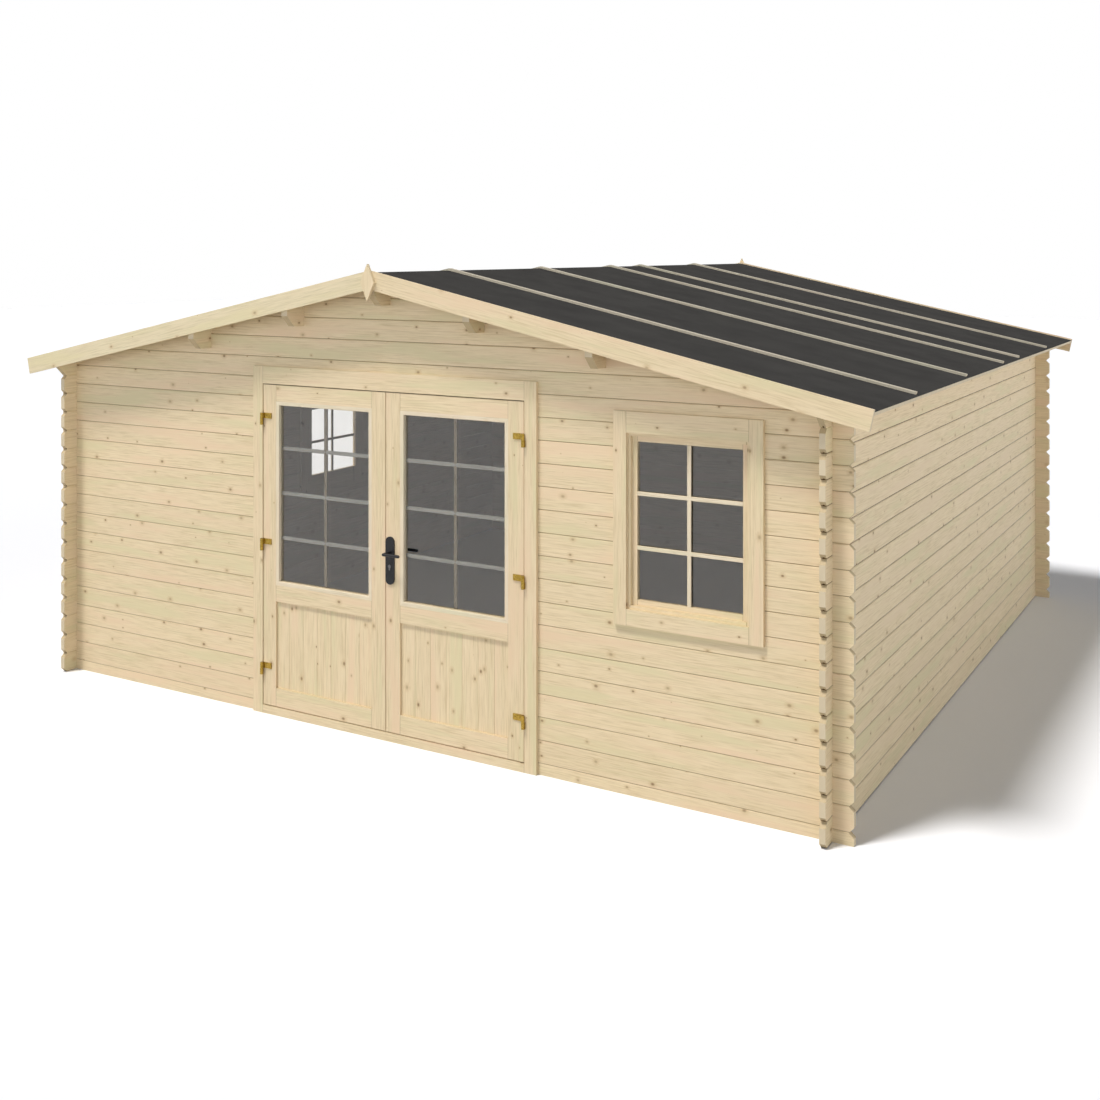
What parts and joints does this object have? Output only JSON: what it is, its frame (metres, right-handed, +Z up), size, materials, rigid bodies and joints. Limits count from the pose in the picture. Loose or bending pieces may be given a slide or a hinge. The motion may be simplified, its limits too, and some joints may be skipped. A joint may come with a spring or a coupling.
{
  "type": "log cabin",
  "caption": "Square log cabin with interlocking log corners, a low felted gable roof, a glazed double door that swings outwards and fixed windows.",
  "frame": {"origin": "middle of the plan at ground level", "axes": "+Z up, -Y out of the front wall with the double door, +X to the right seen from the front"},
  "size_m": [5.2578, 5.152, 2.4998],
  "materials": {
    "log_wood": "planed, untreated",
    "roof_wood": "planed, untreated",
    "roofing_felt": "mineral felt",
    "trim_wood": "planed, untreated",
    "joinery_wood": "planed, untreated",
    "glazing": "clear sheet",
    "hinge_brass": "satin",
    "handle_metal": "black satin"
  },
  "bodies": {
    "cabin": {"front_wall_odd_logs": "log_wood", "front_wall_even_logs": "log_wood", "back_wall_odd_logs": "log_wood", "back_wall_even_logs": "log_wood", "left_wall_odd_logs": "log_wood", "left_wall_even_logs": "log_wood", "right_wall_odd_logs": "log_wood", "right_wall_even_logs": "log_wood", "left_eaves_plate": "log_wood", "right_eaves_plate": "log_wood", "ridge_purlin": "roof_wood", "left_purlins": "roof_wood", "right_purlins": "roof_wood", "left_roof_boards": "roof_wood", "right_roof_boards": "roof_wood", "left_felt_battens": "roof_wood", "right_felt_battens": "roof_wood", "left_roof_felt": "roofing_felt", "right_roof_felt": "roofing_felt", "front_left_bargeboard": "trim_wood", "front_right_bargeboard": "trim_wood", "back_left_bargeboard": "trim_wood", "back_right_bargeboard": "trim_wood", "gable_finials": "trim_wood", "door_jambs": "trim_wood", "door_head": "trim_wood", "door_threshold": "trim_wood", "window_side_casings": "trim_wood", "window_heads_and_sills": "trim_wood", "window_sash_stiles": "joinery_wood", "window_sash_rails": "joinery_wood", "window_panes": "glazing", "door_hinge_pins": "hinge_brass"},
    "left_door": {"left_leaf_stiles": "joinery_wood", "left_leaf_rails": "joinery_wood", "left_leaf_panel": "joinery_wood", "left_leaf_glass": "glazing", "left_leaf_hinges": "hinge_brass"},
    "right_door": {"right_leaf_stiles": "joinery_wood", "right_leaf_rails": "joinery_wood", "right_leaf_panel": "joinery_wood", "right_leaf_glass": "glazing", "right_leaf_hinges": "hinge_brass", "handle_plates": "handle_metal"},
    "lever": {"door_lever": "handle_metal"}
  },
  "joints": [
    {"name": "left_door_swing", "type": "hinge", "parent": "cabin", "child": "left_door", "pos_m": [-0.8465, -2.428, 0.95], "axis": [0, 0, -1], "range_deg": [0, 165]},
    {"name": "right_door_swing", "type": "hinge", "parent": "cabin", "child": "right_door", "pos_m": [0.8465, -2.428, 0.95], "axis": [0, 0, 1], "range_deg": [0, 165]},
    {"name": "lever_turn", "type": "hinge", "parent": "right_door", "child": "lever", "pos_m": [0.031, -2.4, 0.99], "axis": [0, 1, 0], "range_deg": [0, 45], "stiffness_Nm_per_rad": 1.2, "springref_deg": -20.05}
  ]
}
